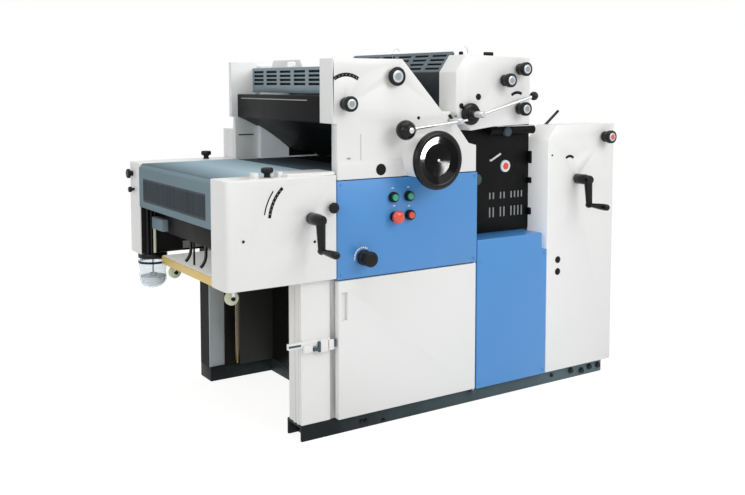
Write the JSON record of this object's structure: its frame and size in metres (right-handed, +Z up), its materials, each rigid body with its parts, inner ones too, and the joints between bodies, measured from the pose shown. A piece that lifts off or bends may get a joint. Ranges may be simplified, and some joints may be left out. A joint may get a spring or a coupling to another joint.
{
  "type": "bag printing machine",
  "caption": "Free-standing sheet-fed offset machine for printing paper bags: print heads over a boxed body, delivery hood with pile board, feeder boxes, handwheel, cranks and levers.",
  "frame": {"origin": "on the floor, at the plan centre of the covers", "axes": "+X from the delivery end to the feeder end, -Y to the operator, +Z up"},
  "size_m": [1.912, 1.19, 1.444],
  "materials": {
    "cover_white": "smooth off-white enamel",
    "panel_blue": "smooth blue enamel",
    "hood_grey": "satin blue-grey paint",
    "guard_grey": "satin grey paint",
    "frame_black": "black paint",
    "base_teal": "dark grey-green paint",
    "black_plastic": "glossy black plastic",
    "lever_steel": "polished steel with black balls",
    "cylinder_steel": "ground steel",
    "roller_rubber": "ink roller rubber",
    "board_wood": "yellow varnished wood",
    "castor_cream": "cream plastic",
    "jar_glass": "clear glass",
    "button_green": "green plastic",
    "button_red": "red plastic",
    "bare_metal": "plated steel"
  },
  "bodies": {
    "machine": {"base_frame": "base_teal", "front_side_frame": "frame_black", "rear_side_frame": "frame_black", "body_end_panel": "frame_black", "front_post": "cover_white", "rear_post": "hood_grey", "pile_guides": "frame_black", "delivery_box_front": "cover_white", "delivery_box_rear": "cover_white", "delivery_hood": "hood_grey", "hood_grille": "guard_grey", "deck_plate": "guard_grey", "delivery_crossbar": "frame_black", "stop_fingers": "black_plastic", "filter_jar": "jar_glass", "jar_fittings": "black_plastic", "latch_bar": "bare_metal", "control_panel": "panel_blue", "column_panel": "panel_blue", "recess_panel_front": "frame_black", "recess_panel_rear": "frame_black", "rear_body_cover": "cover_white", "feeder_box_front": "cover_white", "feeder_box_rear": "cover_white", "feed_table": "guard_grey", "feeder_end_panel": "guard_grey", "feed_rod": "black_plastic", "head_cover_front": "cover_white", "head_cover_rear": "cover_white", "second_head_cover_front": "cover_white", "second_head_cover_rear": "cover_white", "vent_guard_first": "guard_grey", "vent_guard_second": "guard_grey", "ink_guard": "frame_black", "ink_rollers": "roller_rubber", "print_cylinders": "cylinder_steel", "start_buttons": "button_green", "stop_buttons": "button_red", "clamp_knobs": "black_plastic"},
    "pile_board": {"pile_board": "board_wood", "pile_castors": "castor_cream"},
    "lower_door": {"lower_door": "cover_white"},
    "handwheel": {"handwheel": "black_plastic"},
    "delivery_crank": {"delivery_crank": "black_plastic"},
    "feeder_crank": {"feeder_crank": "black_plastic"},
    "print_lever": {"print_lever": "lever_steel"},
    "second_lever": {"second_lever": "lever_steel"},
    "speed_knob": {"speed_knob": "black_plastic"},
    "upper_ink_knob": {"upper_ink_knob": "black_plastic"},
    "lower_ink_knob": {"lower_ink_knob": "black_plastic"},
    "second_left_knob": {"second_left_knob": "black_plastic"},
    "second_upper_knob": {"second_upper_knob": "black_plastic"},
    "second_lower_knob": {"second_lower_knob": "black_plastic"},
    "feeder_knob": {"feeder_knob": "black_plastic"}
  },
  "joints": [
    {"name": "door_swing", "type": "hinge", "parent": "machine", "child": "lower_door", "pos_m": [0.148, -0.493, 0.326], "axis": [0, 0, 1], "range_deg": [0, 100]},
    {"name": "pile_lift", "type": "slide", "parent": "machine", "child": "pile_board", "axis": [0, 0, 1], "range_m": [-0.48, 0]},
    {"name": "handwheel_turn", "type": "hinge", "parent": "machine", "child": "handwheel", "pos_m": [-0.119, -0.5, 1.024], "axis": [0, 1, 0], "continuous": true},
    {"name": "delivery_crank_turn", "type": "hinge", "parent": "machine", "child": "delivery_crank", "pos_m": [-0.615, -0.5, 0.832], "axis": [0, 1, 0], "continuous": true},
    {"name": "feeder_crank_turn", "type": "hinge", "parent": "machine", "child": "feeder_crank", "pos_m": [0.712, -0.5, 0.9], "axis": [0, 1, 0], "continuous": true},
    {"name": "print_lever_swing", "type": "hinge", "parent": "machine", "child": "print_lever", "pos_m": [0.017, -0.5, 1.167], "axis": [0, 1, 0], "range_deg": [0, 25]},
    {"name": "second_lever_swing", "type": "hinge", "parent": "machine", "child": "second_lever", "pos_m": [0.11, -0.5, 1.192], "axis": [0, -1, 0], "range_deg": [0, 40]},
    {"name": "speed_knob_turn", "type": "hinge", "parent": "machine", "child": "speed_knob", "pos_m": [-0.392, -0.5, 0.667], "axis": [0, 1, 0], "range_deg": [0, 270]},
    {"name": "upper_ink_knob_turn", "type": "hinge", "parent": "machine", "child": "upper_ink_knob", "pos_m": [-0.251, -0.5, 1.34], "axis": [0, 1, 0], "continuous": true},
    {"name": "lower_ink_knob_turn", "type": "hinge", "parent": "machine", "child": "lower_ink_knob", "pos_m": [-0.471, -0.5, 1.24], "axis": [0, 1, 0], "continuous": true},
    {"name": "second_left_knob_turn", "type": "hinge", "parent": "machine", "child": "second_left_knob", "pos_m": [0.291, -0.5, 1.326], "axis": [0, 1, 0], "continuous": true},
    {"name": "second_upper_knob_turn", "type": "hinge", "parent": "machine", "child": "second_upper_knob", "pos_m": [0.374, -0.5, 1.372], "axis": [0, 1, 0], "continuous": true},
    {"name": "second_lower_knob_turn", "type": "hinge", "parent": "machine", "child": "second_lower_knob", "pos_m": [0.374, -0.5, 1.209], "axis": [0, 1, 0], "continuous": true},
    {"name": "feeder_knob_turn", "type": "hinge", "parent": "machine", "child": "feeder_knob", "pos_m": [0.881, -0.5, 1.078], "axis": [0, 1, 0], "continuous": true}
  ]
}
